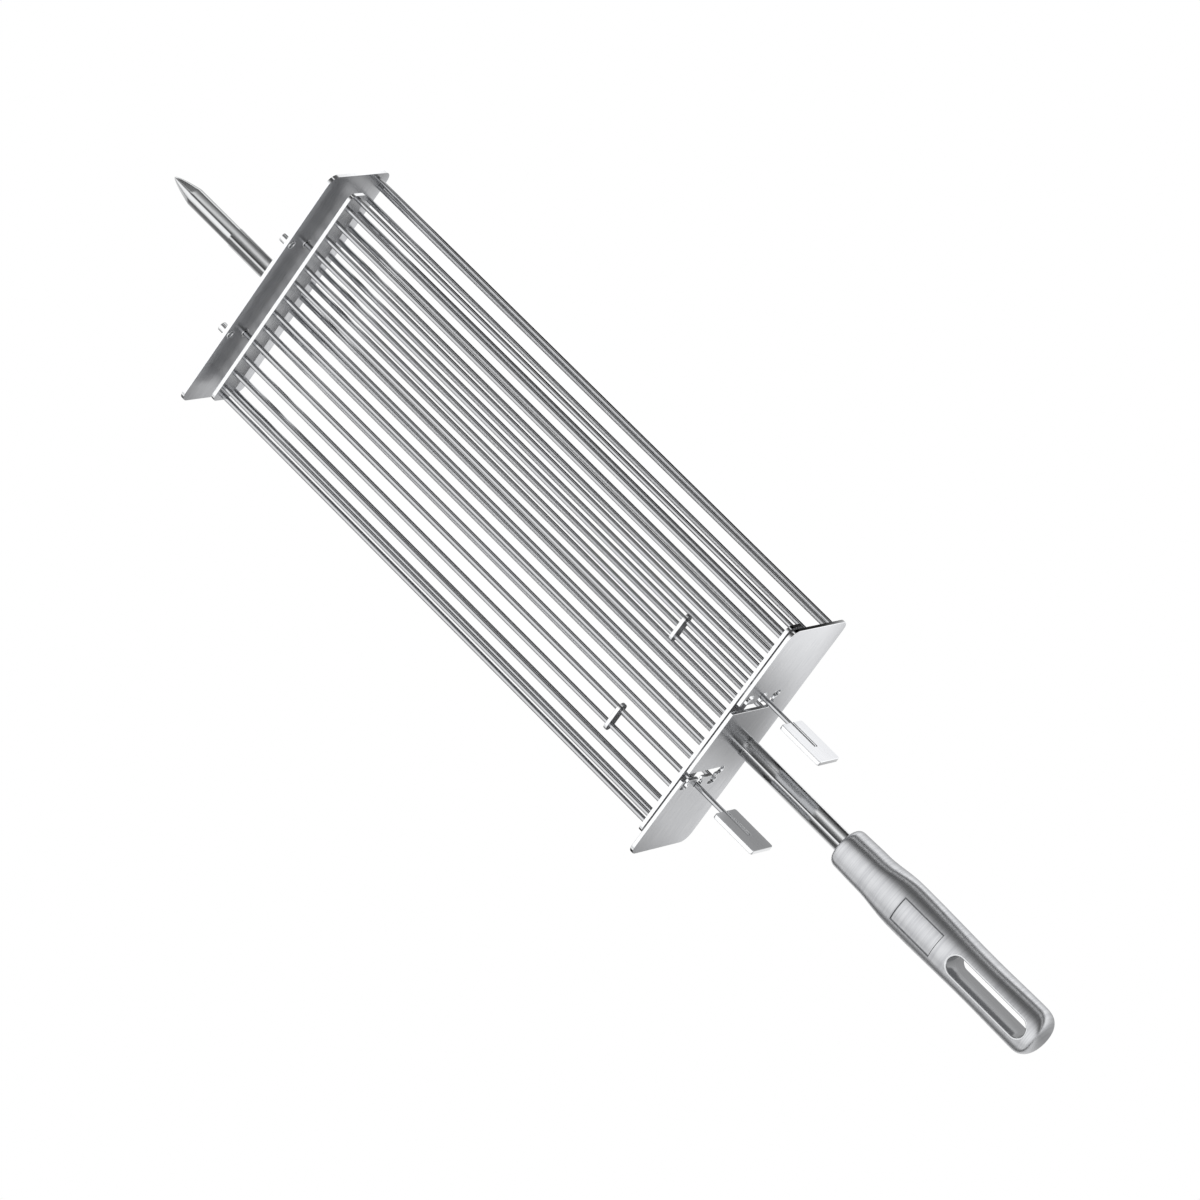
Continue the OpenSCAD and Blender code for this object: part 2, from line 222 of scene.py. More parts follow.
# Stainless round rod, drawn through a die and polished: sharp highlights that run its whole length.
# Die lines of a few hundredths of a millimetre are drawn 0.8 mm wide and faint so that they show.
DRAWN_ROD = SteelFinish(
    "drawn_stainless_rod", "BDBEC0", "B8B9BB", 0.045, 0.01, (160.0, 0.8, 0.8), 0.0)
# Stainless square bar, drawn and polished along its length: soft highlights that run along it.
DRAWN_BAR = SteelFinish(
    "drawn_stainless_bar", "D8D9DA", "D4D5D6", 0.14, 0.015, (160.0, 0.9, 0.9), 0.0)
# The point of the spit: a copy of the bar's steel, a little rougher, whose own darker colour is painted
# light, standing in for the different light that the point gets.
POINT_PAINTED_LIGHT = SteelFinish(
    "point_stainless_painted_light", "CFD0D1", "CACBCC", 0.17, 0.02, (160.0, 0.9, 0.9), 0.0)
# Stainless tube, brushed on a wheel round its girth: satin, with fine rings that cross its length.
# The real rings are 0.05 to 0.1 mm wide, drawn here at 0.8 mm so that they show.
SATIN_TUBE = SteelFinish(
    "satin_brushed_tube", "C2C3C5", "B2B3B6", 0.31, 0.02, (0.8, 30.0, 30.0), 0.0002)
# The step round the pressed panel: painted shade, a dark colour for the shade that falls in the recess,
# and dull.
STEP_PAINTED_SHADE = SteelFinish("step_painted_shade", "6E6F71", "606163", 0.45, 0.03, (2.0, 2.0, 2.0), 0.0)
# Stainless strip that lines the slot, satin along its length, with a lip polished by rolling.
SLOT_STRIP = SteelFinish(
    "satin_stainless_strip", "B8B9BB", "ADAEB0", 0.16, 0.03, (12.0, 12.0, 0.35), 0.0)
ROLLED_LIP = SteelFinish("rolled_polished_lip", "CBCCCE", "C2C3C5", 0.16, 0.03, (2.0, 2.0, 2.0), 0.0)
# Stainless, turned on a lathe and polished: bright, with faint feed rings.
TURNED_BUSH = SteelFinish("turned_stainless", "EAEBEC", "DFE0E1", 0.16, 0.02, (0.4, 3.0, 3.0), 0.0)
# Stainless sheet, polished: near white where it faces the light, with faint lengthwise lines.
POLISHED_TAB = SteelFinish(
    "polished_stainless_sheet", "CACBCD", "C2C3C6", 0.12, 0.03, (20.0, 0.3, 0.5), 0.0001)


def skin(rings: list[list[Vector]], loop: bool = False) -> bmesh.types.BMesh:
    """Covers a run of closed rings, which all have as many points.

    Args:
        rings: The rings in order, each a list of points.
        loop: Whether the last ring joins the first. If not, both ends are closed with a fan.

    Returns:
        A closed mesh whose faces point outwards.
    """
    bm = bmesh.new()
    rows = [[bm.verts.new(p) for p in ring] for ring in rings]
    pairs = list(zip(rows, rows[1:]))
    if loop:
        pairs.append((rows[-1], rows[0]))
    for a, b in pairs:
        for i in range(len(a)):
            j = (i + 1) % len(a)
            bm.faces.new((a[i], a[j], b[j], b[i]))
    if not loop:
        for row in (rows[0], rows[-1]):
            middle = bm.verts.new(sum((v.co for v in row), Vector()) / len(row))
            for i in range(len(row)):
                bm.faces.new((row[i], row[(i + 1) % len(row)], middle))
    bmesh.ops.recalc_face_normals(bm, faces=bm.faces[:])
    return bm


def mesh_object(name: str, bm: bmesh.types.BMesh, finishes: list[SteelFinish],
                sharp_deg: float | None = SHARP_DEG) -> bpy.types.Object:
    """Turns a mesh into a smooth-shaded object in the scene.

    Args:
        name: The piece's name.
        bm: The mesh, which is freed.
        finishes: The finishes, in the order of the faces' material numbers.
        sharp_deg: Edges that turn by more than this many degrees stay crisp. None keeps all smooth.

    Returns:
        The object, at the origin.
    """
    mesh = bpy.data.meshes.new(name)
    for face in bm.faces:
        face.smooth = True
    bm.to_mesh(mesh)
    bm.free()
    if sharp_deg is not None:
        mesh.set_sharp_from_angle(angle=math.radians(sharp_deg))
    for finish in finishes:
        mesh.materials.append(finish.material())
    made = bpy.data.objects.new(name, mesh)
    bpy.context.scene.collection.objects.link(made)
    return made


def settle(piece: bpy.types.Object, body: str, nodes: list[str]) -> None:
    """Puts a finished piece on its body in the place of its CAD nodes, and reports it.

    Args:
        piece: The piece.
        body: The body that it rides on.
        nodes: The CAD nodes that it stands for.
    """
    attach(piece, body)
    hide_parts(*nodes)
    log.info("%s rides on %s for %d nodes", piece.name, body, len(nodes))


def freeze(piece: bpy.types.Object) -> None:
    """Turns a piece's modifiers into its own plain mesh.

    Args:
        piece: The piece, whose modifiers are removed.
    """
    graph = bpy.context.evaluated_depsgraph_get()
    mesh = bpy.data.meshes.new_from_object(
        piece.evaluated_get(graph), preserve_all_data_layers=True, depsgraph=graph)
    piece.modifiers.clear()
    piece.data = mesh


def run_tree(name: str, tree: bpy.types.NodeTree, values: dict[str, object]) -> bpy.types.Object:
    """Builds a piece with a tree of Geometry Nodes and keeps the result as a plain mesh.

    Args:
        name: The piece's name.
        tree: The tree.
        values: For each named input of the tree, its value.

    Returns:
        The piece.
    """
    piece = mesh_object(name, bmesh.new(), [], None)
    modifier = piece.modifiers.new(tree.name, "NODES")
    modifier.node_group = tree
    for item in tree.interface.items_tree:
        if item.item_type == "SOCKET" and item.in_out == "INPUT":
            modifier[item.identifier] = values[item.name]
    freeze(piece)
    piece.data.set_sharp_from_angle(angle=math.radians(SHARP_DEG))
    return piece


def new_tree(name: str, inputs: dict[str, str]) -> tuple[bpy.types.NodeTree, bpy.types.Node]:
    """Starts a tree of Geometry Nodes.

    Args:
        name: The tree's name.
        inputs: For each input's name, the last part of Blender's name for its kind of socket.

    Returns:
        The tree and the node that gives its inputs.
    """
    tree = bpy.data.node_groups.new(name, "GeometryNodeTree")
    tree.interface.new_socket("Mesh", in_out="OUTPUT", socket_type="NodeSocketGeometry")
    for socket, kind in inputs.items():
        tree.interface.new_socket(socket, in_out="INPUT", socket_type="NodeSocket" + kind)
    return tree, add_node(tree, "NodeGroupInput")


def close_tree(tree: bpy.types.NodeTree, instances: bpy.types.Node,
               steel: bpy.types.NodeSocket) -> bpy.types.NodeTree:
    """Ends a tree of Geometry Nodes: real copies, with their material.

    Args:
        tree: The tree.
        instances: The node that gives the instances.
        steel: The output that gives the material.

    Returns:
        The tree.
    """
    real = add_node(tree, "GeometryNodeRealizeInstances", {"Geometry": instances})
    dressed = add_node(tree, "GeometryNodeSetMaterial", {"Geometry": real, "Material": steel})
    add_node(tree, "NodeGroupOutput", {"Mesh": dressed})
    return tree


def rod_tree() -> bpy.types.NodeTree:
    """Gives the tree that lays a row of straight rods, which is made at its first use.

    Returns:
        The tree. Its rods run along +X from First on, a Step apart. Left out counts rods each way
        from the middle of the row to the two that are missing.
    """
    made = bpy.data.node_groups.get("row_of_rods")
    if made:
        return made
    tree, given = new_tree("row_of_rods", {
        "Count": "Int", "First": "Vector", "Step": "Vector", "Length": "Float", "Diameter": "Float",
        "Chamfer": "Float", "Sides": "Int", "Left out": "Float", "Steel": "Material"})
    size = given.outputs
    index = add_node(tree, "GeometryNodeInputIndex").outputs["Index"]
    # Places in a row are whole numbers or halves, and count as the same when closer than this
    same = 0.1

    # One rod: a line of four points, the outer two drawn in for the chamfers
    rod_points = 4
    half_way = (rod_points - 1) / 2
    inner_end = add_node(tree, "ShaderNodeMath", {
        0: size["Length"], 1: size["Chamfer"]}, operation="SUBTRACT")
    reach = add_node(tree, "GeometryNodeIndexSwitch", data_type="FLOAT")
    while len(reach.index_switch_items) < rod_points:
        reach.index_switch_items.new()
    for socket, source in (("Index", index), ("1", size["Chamfer"]),
                           ("2", inner_end.outputs["Value"]), ("3", size["Length"])):
        tree.links.new(source, reach.inputs[socket])
    place = add_node(tree, "ShaderNodeCombineXYZ", {"X": reach})
    line = add_node(tree, "GeometryNodeMeshLine", {"Count": rod_points})
    points = add_node(tree, "GeometryNodeSetPosition", {"Geometry": line, "Position": place})
    path = add_node(tree, "GeometryNodeMeshToCurve", {"Mesh": points})
    radius = add_node(tree, "ShaderNodeMath", {0: size["Diameter"], 1: 2.0}, operation="DIVIDE")
    lost = add_node(tree, "ShaderNodeMath", {0: size["Chamfer"], 1: radius}, operation="DIVIDE")
    drawn_in = add_node(tree, "ShaderNodeMath", {0: 1.0, 1: lost}, operation="SUBTRACT")
    off_middle = add_node(tree, "ShaderNodeMath", {0: index, 1: half_way}, operation="SUBTRACT")
    distance = add_node(tree, "ShaderNodeMath", {0: off_middle}, operation="ABSOLUTE")
    at_end = add_node(tree, "ShaderNodeMath", {0: distance, 1: half_way, 2: same}, operation="COMPARE")
    share = add_node(tree, "ShaderNodeMix", {"Factor": at_end, "A": 1.0, "B": drawn_in},
                     data_type="FLOAT")
    ring = add_node(tree, "GeometryNodeCurvePrimitiveCircle", {
        "Resolution": size["Sides"], "Radius": radius})
    rod = add_node(tree, "GeometryNodeCurveToMesh", {
        "Curve": path, "Profile Curve": ring, "Scale": share.outputs["Result"], "Fill Caps": True})

    # The row: a point for each rod, without the two that are left out
    row = add_node(tree, "GeometryNodeMeshLine", {
        "Count": size["Count"], "Start Location": size["First"], "Offset": size["Step"]})
    last = add_node(tree, "ShaderNodeMath", {0: size["Count"], 1: 1.0}, operation="SUBTRACT")
    middle = add_node(tree, "ShaderNodeMath", {0: last, 1: 2.0}, operation="DIVIDE")
    places = add_node(tree, "ShaderNodeMath", {0: index, 1: middle}, operation="SUBTRACT")
    from_middle = add_node(tree, "ShaderNodeMath", {0: places}, operation="ABSOLUTE")
    kept = add_node(tree, "FunctionNodeCompare", {
        0: from_middle, 1: size["Left out"], "Epsilon": same}, data_type="FLOAT", operation="NOT_EQUAL")
    rods = add_node(tree, "GeometryNodeInstanceOnPoints", {
        "Points": row, "Selection": kept, "Instance": rod})
    return close_tree(tree, rods, size["Steel"])


@dataclass
class RodRow:
    """A row of equal rods along the grate, on one body.

    Attributes:
        name: The piece's name.
        body: The body that the row rides on.
        nodes: Its CAD nodes, in order across the grate.
        count: Places in the row, with those that are left out.
        left_out: How many places each way from the middle are left out. -1 leaves out none.
        chamfer: Chamfer at both ends, in mm.
        sides: Sides of each rod.
    """

    name: str
    body: str
    nodes: list[str]
    count: int
    left_out: int = -1
    chamfer: float = 0.1
    sides: int = 32

    def build(self) -> None:
        """Builds the row between its first and its last CAD rod."""
        low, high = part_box(self.nodes[0])
        last_low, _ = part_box(self.nodes[-1])
        diameter = high.z - low.z
        first = Vector((low.x, low.y + diameter / 2, low.z + diameter / 2))
        step = (last_low - low) / max(self.count - 1, 1)
        piece = run_tree(self.name, rod_tree(), {
            "Count": self.count, "First": first, "Step": step, "Length": high.x - low.x,
            "Diameter": diameter, "Chamfer": self.chamfer * MM, "Sides": self.sides,
            "Left out": float(self.left_out), "Steel": DRAWN_ROD.material()})
        settle(piece, self.body, self.nodes)


@dataclass
class SheetPart:
    """A flat part cut from sheet, with sanded or polished faces and a polished, broken edge.

    Attributes:
        node: Its CAD node.
        body: The body that it rides on.
        slot: The record's slot of its finish. Not used.
        face: Finish of its two faces.
        facing: The direction that its faces look in.
        broken: How far its edges are broken, in mm.
        merge: Points that are closer than this become one, in mm.
        flat_deg: Faces that meet at less than this many degrees become one.
        corner_deg: Edges that turn by more than this many degrees are broken.
    """

    node: str
    body: str
    slot: Slot
    face: SteelFinish
    facing: Axis = Axis.X
    broken: float = 0.25
    merge: float = 0.001
    flat_deg: float = 0.5
    corner_deg: float = 35.0

    def build(self) -> None:
        """Builds the part from a merged copy of its CAD mesh."""
        bm = bmesh.new()
        bm.from_mesh(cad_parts[self.node].data)
        bmesh.ops.remove_doubles(bm, verts=bm.verts[:], dist=self.merge * MM)
        bmesh.ops.dissolve_limit(
            bm, angle_limit=math.radians(self.flat_deg), verts=bm.verts[:], edges=bm.edges[:])
        least_facing = 0.9
        for face in bm.faces:
            faces_out = abs(face.normal[self.facing.value]) > least_facing
            face.material_index = 0 if faces_out else 1
        piece = mesh_object("dressed_" + self.node, bm, [self.face, POLISHED_EDGE], None)
        bevel = piece.modifiers.new("broken_edge", "BEVEL")
        bevel.width = self.broken * MM
        bevel.segments = 2
        bevel.limit_method = "ANGLE"
        bevel.angle_limit = math.radians(self.corner_deg)
        bevel.material = 1
        flat = piece.modifiers.new("flat_faces", "WEIGHTED_NORMAL")
        flat.weight = 100
        settle(piece, self.body, [self.node])


def ease(start: float, end: float, share: float) -> float:
    """Eases from one value to another.

    Args:
        start: Value at a share of 0.
        end: Value at a share of 1.
        share: How far along.

    Returns:
        The value, which leaves and arrives level.
    """
    return start + (end - start) * (1 - math.cos(math.pi * share)) / 2


def soft_min(softness: float, *lengths: float) -> float:
    """Gives the smallest of some lengths, blended where they meet.

    Args:
        softness: Length over which they blend, in mm.
        *lengths: The lengths, in mm.

    Returns:
        A length that is never above the smallest one.
    """
    low = min(lengths)
    return low - softness * math.log(sum(math.exp((low - length) / softness) for length in lengths))


@dataclass
class Spit:
    """The square bar of the spit: its point beyond the basket and its shaft to the handle.

    Attributes:
        side: Width over the flats, in mm.
        crown: How far each flat is crowned, in mm.
        turn_deg: Angle of the first flat from straight up towards the left, in degrees.
        corner_softness: How softly the corners are rounded, in mm.
        square_l: Length of the full square stretch beyond the far plate, in mm.
        round_l: Length of the stretch that is turned down, in mm.
        journal_d: Diameter that the corners are turned down to, in mm.
        journal_softness: How softly the turning runs out on the flats, in mm.
        shoulder_l: Length over which the turning begins, in mm.
        fullness: How full the point is, as a power.
        blunt: Share of the bar's width that is left at the tip.
        samples: Points on each flat.
        point_rings: Rings along the point.
        bunching: How far those rings crowd towards the tip, as a power.
    """

    side: float = 9.2
    crown: float = 0.45
    turn_deg: float = 53.0
    corner_softness: float = 0.3
    square_l: float = 37.2
    round_l: float = 31.5
    journal_d: float = 10.4
    journal_softness: float = 0.06
    shoulder_l: float = 0.15
    fullness: float = 0.68
    blunt: float = 0.06
    samples: int = 24
    point_rings: int = 22
    bunching: float = 1.6

    def flat_reach(self, turn: float) -> float:
        """Gives the distance from the axis to one crowned flat.

        Args:
            turn: Angle from the middle of the flat, in radians.

        Returns:
            The distance, in mm.
        """
        half = self.side / 2
        crown_r = (half ** 2 + self.crown ** 2) / (2 * self.crown)
        back = crown_r - half
        return math.sqrt(crown_r ** 2 - (back * math.sin(turn)) ** 2) - back * math.cos(turn)

    def section(self, share: float = 1.0, turned: bool = False,
                grow: float = 1.0) -> list[tuple[float, float]]:
        """Gives the outline of the bar, with more points towards its corners.

        Args:
            share: Share of the full width, which is below 1 on the point.
            turned: Whether the corners are turned down.
            grow: Factor on the whole outline, for a hole that the bar goes through.

        Returns:
            Places to the left and up from the axis, in mm.
        """
        outline = []
        for quarter in range(4):
            for i in range(self.samples):
                turn = math.pi / 4 * math.sin(math.pi * (i / self.samples - 0.5))
                reach = soft_min(
                    self.corner_softness, self.flat_reach(turn), self.flat_reach(math.pi / 2 - abs(turn)))
                if share < 1:
                    reach = min(reach, self.side / 2 * share / math.cos(turn))
                if turned:
                    reach = soft_min(self.journal_softness, reach, self.journal_d / 2 * share)
                angle = math.radians(self.turn_deg) + quarter * math.pi / 2 + turn
                outline.append((grow * reach * math.sin(angle), grow * reach * math.cos(angle)))
        return outline

    def ring(self, x: float, axis_z: float, outline: list[tuple[float, float]]) -> list[Vector]:
        """Stands an outline in mm across the grate, at x and about the height axis_z, both in metres."""
        return [Vector((x, y * MM, axis_z + z * MM)) for y, z in outline]

    def build(self) -> None:
        """Builds the bar's far end and its shaft."""
        low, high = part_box("tip_bar")
        axis_z = (low.z + high.z) / 2
        shoulder = high.x - self.square_l * MM
        neck = shoulder - self.round_l * MM
        rings = [self.ring(high.x, axis_z, self.section()),
                 self.ring(shoulder, axis_z, self.section()),
                 self.ring(shoulder - self.shoulder_l * MM, axis_z, self.section(turned=True)),
                 self.ring(neck, axis_z, self.section(turned=True))]
        for i in range(1, self.point_rings + 1):
            left = (1 - i / self.point_rings) ** self.bunching
            share = self.blunt + (1 - self.blunt) * left ** self.fullness
            x = low.x + (neck - low.x) * left
            rings.append(self.ring(x, axis_z, self.section(share, True)))
        # The point wears the copy of the bar's steel whose colour is painted light.
        tip = mesh_object("spit_point", skin(rings), [POINT_PAINTED_LIGHT])
        settle(tip, "basket", ["tip_bar"])

        low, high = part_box("handle_bar")
        ends = [self.ring(x, axis_z, self.section()) for x in (low.x, high.x)]
        shaft = mesh_object("spit_shaft", skin(ends), [DRAWN_BAR])
        settle(shaft, "basket", ["handle_bar"])


@dataclass
class Handle:
    """The hollow handle: its shell with the bare panel, its front plug and the hanging slot's liner.

    Attributes:
        stations: Distance from the front and width at each place that the outline eases between.
        height: Height of the handle, which is pressed flatter than it is wide, in mm.
        crown_r: Radius across its crowned top and bottom, in mm.
        softness: How softly the crowned faces blend into the sides, in mm.
        dome_l: Length of the domed end, in mm.
        dome_fullness: How full the dome is, as a power.
        wall: Wall of the shell, in mm.
        shoulder_l: Length of the front plug's shoulder, in mm.
        spigot_l: Length of the plug inside the shell, in mm.
        front_round: Radius of the rounded front edge, in mm.
        seat_gap: Gap at pressed seats, in mm.
        liner_wall: Wall of the slot's liner, in mm.
        panel_x: Distance of the panel from the front, in mm.
        panel_l: Length of the panel, in mm.
        panel_w: Width of the panel, in mm.
        panel_depth: Depth of the panel, in mm.
        panel_lip: Width of the slope round the panel, in mm.
        slot_waist: How far the walls of the slot swell inwards halfway down, in mm.
        least_r: Least distance of any point of the shell from the axis, in mm.
    """

    stations: tuple[tuple[float, float], ...] = (
        (0.0, 22.3), (20.0, 23.2), (46.0, 28.7), (98.0, 26.5), (131.0, 27.8))
    height: float = 20.5
    crown_r: float = 17.0
    softness: float = 0.6
    dome_l: float = 10.5
    dome_fullness: float = 0.7
    wall: float = 1.8
    shoulder_l: float = 4.0
    spigot_l: float = 10.0
    front_round: float = 3.5
    seat_gap: float = 0.05
    liner_wall: float = 1.2
    panel_x: float = 44.0
    panel_l: float = 27.6
    panel_w: float = 14.8
    panel_depth: float = 0.6
    panel_lip: float = 0.55
    slot_waist: float = 0.7
    least_r: float = 0.05

    def __post_init__(self) -> None:
        """Takes the handle's place from the frame."""
        low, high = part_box("handle_front_plug")
        self.front_x = low.x
        self.axis_z = (low.z + high.z) / 2
        self.length = (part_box("handle_shell")[1].x - low.x) / MM
        self.end_x = self.length - self.dome_l

    def dome_turn(self, x: float) -> float:
        """Gives how far round the dome a place is, in radians. x is its distance from the front, in mm."""
        return math.asin(min((x - self.end_x) / self.dome_l, 1.0))

    def half_width(self, x: float) -> float:
        """Gives the radius that the handle was turned to, before it was pressed.

        Args:
            x: Distance from the front, in mm.

        Returns:
            The radius, in mm.
        """
        if x >= self.end_x:
            cosine = max(math.cos(self.dome_turn(x)), 0.0)
            return self.stations[-1][1] / 2 * cosine ** self.dome_fullness
        for (x0, d0), (x1, d1) in zip(self.stations, self.stations[1:]):
            if x < x1:
                return ease(d0, d1, max(x - x0, 0.0) / (x1 - x0)) / 2
        return self.stations[-1][1] / 2

    def reach(self, half_width: float, angle: float) -> float:
        """Gives the distance from the axis to the pressed outside.

        Args:
            half_width: Radius before the pressing, in mm.
            angle: Angle from straight up towards the left, in radians.

        Returns:
            The distance, in mm.
        """
        off = self.crown_r - self.height / 2
        chord = math.sqrt(self.crown_r ** 2 - (off * math.sin(angle)) ** 2)
        rise = off * math.cos(angle)
        return max(soft_min(self.softness, half_width, chord - rise, chord + rise), self.least_r)

    def turned_normal(self, x: float) -> tuple[float, float]:
        """Gives the normal of the outside before the pressing.

        Args:
            x: Distance from the front, in mm.

        Returns:
            The normal's parts along the handle and away from its axis.
        """
        least_cosine, step = 1e-4, 0.05
        if x >= self.end_x:
            turn = self.dome_turn(x)
            cosine = max(math.cos(turn), least_cosine)
            along = self.stations[-1][1] / 2 * self.dome_fullness * math.sin(turn)
            along *= cosine ** (self.dome_fullness - 1)
            out = self.dome_l * cosine
        else:
            before, after = max(x - step, 0.0), min(x + step, self.end_x)
            along = self.half_width(before) - self.half_width(after)
            out = after - before
        size = math.hypot(along, out)
        return along / size, out / size

    def normal(self, x: float, angle: float) -> Vector:
        """Gives the normal of the pressed outside.

        Args:
            x: Distance from the front, in mm.
            angle: Angle from straight up towards the left, in radians.

        Returns:
            The normal, pointing outwards.
        """
        half_width, step = self.half_width(x), 0.01
        along, out = self.turned_normal(x)
        along *= (self.reach(half_width + step, angle) - self.reach(half_width - step, angle)) / (2 * step)
        turn = (self.reach(half_width, angle + step) - self.reach(half_width, angle - step)) / (2 * step)
        turn *= -out / self.reach(half_width, angle)
        return Vector((along, out * math.sin(angle) + turn * math.cos(angle),
                       out * math.cos(angle) - turn * math.sin(angle))).normalized()

    def angle_at(self, x: float, left: float) -> float:
        """Finds the direction of a point on the upper outside.

        Args:
            x: Distance from the front, in mm.
            left: The point's distance to the left of the axis, in mm.

        Returns:
            The angle from straight up towards the left, in radians.
        """
        half_width, angle, tries = self.half_width(x), 0.0, 12
        for _ in range(tries):
            angle = math.asin(max(min(left / self.reach(half_width, angle), 1.0), -1.0))
        return angle

    def point(self, x: float, radius: float, angle: float) -> Vector:
        """Gives a point in metres, x mm from the front and radius mm off the axis, at an angle from up."""
        return Vector((self.front_x + x * MM, radius * MM * math.sin(angle),
                       self.axis_z + radius * MM * math.cos(angle)))

    def shell_lines(self) -> list[float]:
        """Gives where the shell's rings stand, with rings at the edges of the panel.

        Returns:
            Distances from the front, in mm.
        """
        x0, x1 = self.panel_x, self.panel_x + self.panel_l
        fixed = [self.shoulder_l, x0, x0 + self.panel_lip, x1 - self.panel_lip, x1, self.end_x]
        steps, dome_steps, closest = 96, 20, 0.35
        even = [self.shoulder_l + (self.end_x - self.shoulder_l) * i / steps for i in range(1, steps)]
        even = [x for x in even if min(abs(x - f) for f in fixed) > closest]
        dome = [self.end_x + self.dome_l * math.sin(math.pi / 2 * i / dome_steps)
                for i in range(1, dome_steps)]
        return sorted(fixed + even + dome)

    def shell_columns(self) -> list[float]:
        """Gives where the shell's long lines cross the panel.

        Returns:
            Shares of the panel's half width, to the left.
        """
        lip = 1 - self.panel_lip / (self.panel_w / 2)
        columns = 6
        return [-1.0, *(lip * i / columns for i in range(-columns, columns + 1)), 1.0]

    def shell_ring(self, x: float, inset: float, recess: bool) -> list[Vector]:
        """Gives one ring of the shell.

        Args:
            x: Distance from the front, in mm.
            inset: How far inside the outline the ring lies, in mm.
            recess: Whether the panel is sunk into it.

        Returns:
            The ring's points, in metres.
        """
        half_width = self.half_width(x)
        level = min(x, self.end_x)
        half = self.panel_w / 2
        lip = 1 - self.panel_lip / half
        x0, x1 = self.panel_x + self.panel_lip, self.panel_x + self.panel_l - self.panel_lip
        slack, outside = 1e-6, 84
        sunk = recess and x0 - slack <= x <= x1 + slack
        angles = [self.angle_at(level, share * half) for share in self.shell_columns()]
        depths = [self.panel_depth if sunk and abs(share) <= lip + slack else 0.0
                  for share in self.shell_columns()]
        edge = angles[-1]
        angles += [edge + (2 * math.pi - 2 * edge) * i / outside for i in range(1, outside)]
        depths += [0.0] * (outside - 1)
        return [self.point(x, max(self.reach(half_width, angle) - inset - depth, self.least_r), angle)
                for angle, depth in zip(angles, depths)]

    def slot_outline(self, grow: float) -> list[tuple[float, float]]:
        """Gives the outline of the hanging slot.

        Args:
            grow: How far outside the opening the outline runs, in mm.

        Returns:
            Distances from the front and to the left, in mm.
        """
        low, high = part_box("hanging_slot_liner")
        half = (high.y - low.y) / 2 / MM - self.liner_wall
        start = (low.x - self.front_x) / MM + self.liner_wall + half
        end = (high.x - self.front_x) / MM - self.liner_wall - half
        reach = half + grow
        arc, straight = 28, 24
        outline = []
        for middle, first in ((end, -90.0), (start, 90.0)):
            for i in range(arc + 1):
                turn = math.radians(first + 180 * i / arc)
                outline.append((middle + reach * math.cos(turn), reach * math.sin(turn)))
            far = start if middle == end else end
            for i in range(1, straight):
                outline.append((middle + (far - middle) * i / straight, outline[-1][1]))
        return outline

    def build_shell(self) -> None:
        """Builds the shell, with its panel and its slot, and gives it the true normals."""
        # The last ring stands just short of the tip, and what is within tip_reach of it closes it
        tip_share, tip_reach, inner_end, cut_reach = 0.9995, 0.02, 0.2, 20.0
        outer = [self.shell_ring(x, 0.0, True) for x in self.shell_lines()]
        outer.append(self.shell_ring(self.end_x + self.dome_l * tip_share, 0.0, False))
        inner = [self.shell_ring(x, self.wall, False) for x in self.shell_lines()
                 if x < self.length - self.wall - inner_end]
        bm = skin(outer[::-1] + inner)
        for vertex in bm.verts:
            if vertex.co.x > self.front_x + (self.length - tip_reach) * MM:
                vertex.co.x = self.front_x + self.length * MM
        # The step round the panel gets painted shade: a dark finish for the shade in the recess.
        self.paint_step_shade(bm)
        shell = mesh_object("handle_tube", bm, [SATIN_TUBE, STEP_PAINTED_SHADE], None)
        opening = self.slot_outline(self.liner_wall + self.seat_gap)
        cutter = mesh_object("slot_cutter", skin([
            [Vector((self.front_x + x * MM, y * MM, self.axis_z + z * MM)) for x, y in opening]
            for z in (-cut_reach, cut_reach)]), [], None)
        cut = shell.modifiers.new("slot", "BOOLEAN")
        cut.operation, cut.object, cut.solver = "DIFFERENCE", cutter, "EXACT"
        freeze(shell)
        bpy.data.objects.remove(cutter)
        self.true_normals(shell.data)
        settle(shell, "basket", ["handle_shell"])

    def paint_step_shade(self, bm: bmesh.types.BMesh) -> None:
        """Paints shade on the step round the panel, as a dark finish of its own.

        Args:
            bm: The shell's mesh.
        """
        x0, x1 = self.panel_x, self.panel_x + self.panel_l
        for face in bm.faces:
            middle = face.calc_center_median()
            x, left = (middle.x - self.front_x) / MM, middle.y / MM
            if middle.z < self.axis_z or not x0 < x < x1 or abs(left) > self.panel_w / 2:
                continue
            half_width = self.half_width(x)
            outside = self.reach(half_width, self.angle_at(x, left))
            depth = outside - math.hypot(middle.y, middle.z - self.axis_z) / MM
            beside = abs(left) > self.panel_w / 2 - self.panel_lip
            past_end = min(x - x0, x1 - x) < self.panel_lip
            if depth < self.wall / 2 and (beside or past_end):
                face.material_index = 1

    def true_normals(self, mesh: bpy.types.Mesh) -> None:
        """Gives a shell's faces the exact normals of the outline that they follow.

        Args:
            mesh: The shell's mesh.
        """
        normals: list[Vector] = [Vector((0.0, 0.0, 1.0))] * len(mesh.loops)
        least_match = 0.9
        for face in mesh.polygons:
            for loop in face.loop_indices:
                place = mesh.vertices[mesh.loops[loop].vertex_index].co
                angle = math.atan2(place.y, place.z - self.axis_z)
                true = self.normal((place.x - self.front_x) / MM, angle)
                normals[loop] = true if true.dot(face.normal) > least_match else face.normal.copy()
        mesh.normals_split_custom_set(normals)

